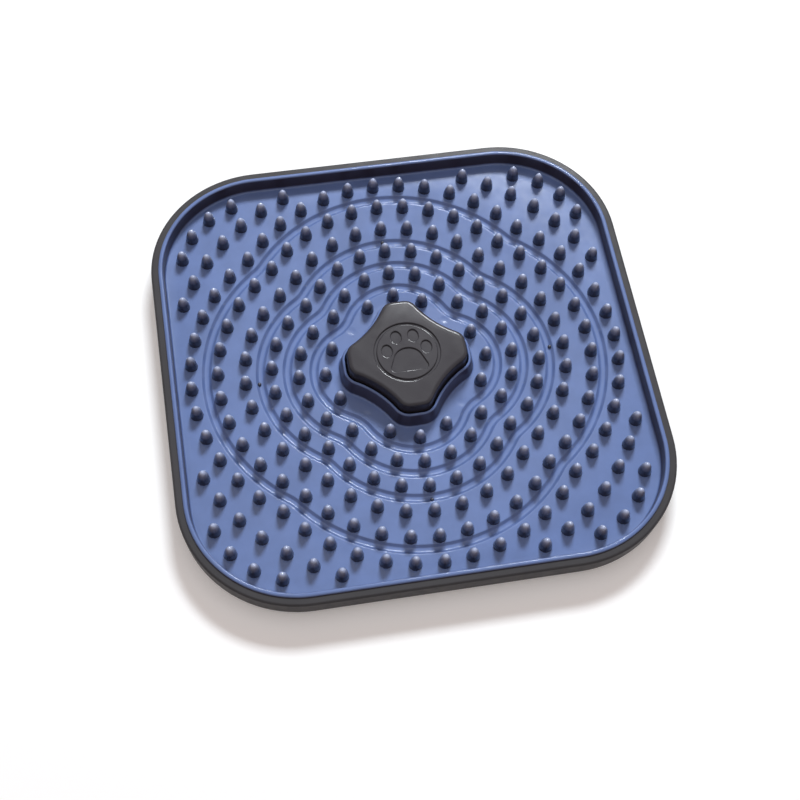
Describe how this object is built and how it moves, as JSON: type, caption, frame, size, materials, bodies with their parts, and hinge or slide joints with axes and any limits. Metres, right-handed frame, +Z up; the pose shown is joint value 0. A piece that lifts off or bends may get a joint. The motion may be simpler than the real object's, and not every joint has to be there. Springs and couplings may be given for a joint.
{
  "type": "lick mat",
  "caption": "Square pet lick mat with rings of blunt nibs and lobed channels, seated in a tray with a raised four-lobed knob.",
  "frame": {"origin": "middle of the surface that the rubber feet stand on", "axes": "+Z up; the tray's straight sides run along X and Y, and it is the same seen from all four sides except for the paw, whose toes point to +Y"},
  "size_m": [0.2, 0.2, 0.0172],
  "materials": {
    "tray_plastic": "satin moulded dark grey plastic",
    "mat_rubber": "satin moulded soft blue rubber",
    "knob_plastic": "satin moulded dark grey plastic",
    "foot_rubber": "matt black rubber"
  },
  "bodies": {
    "tray": {"base_tray": "tray_plastic", "foot_front_left": "foot_rubber", "foot_front_right": "foot_rubber", "foot_rear_left": "foot_rubber", "foot_rear_right": "foot_rubber"},
    "mat": {"lick_mat": "mat_rubber"},
    "knob": {"centre_knob": "knob_plastic"}
  },
  "joints": [
    {"name": "mat_lift", "type": "slide", "parent": "tray", "child": "mat", "axis": [0, 0, 1], "range_m": [0, 0.05]},
    {"name": "knob_lift", "type": "slide", "parent": "tray", "child": "knob", "axis": [0, 0, 1], "range_m": [0, 0.06]}
  ]
}
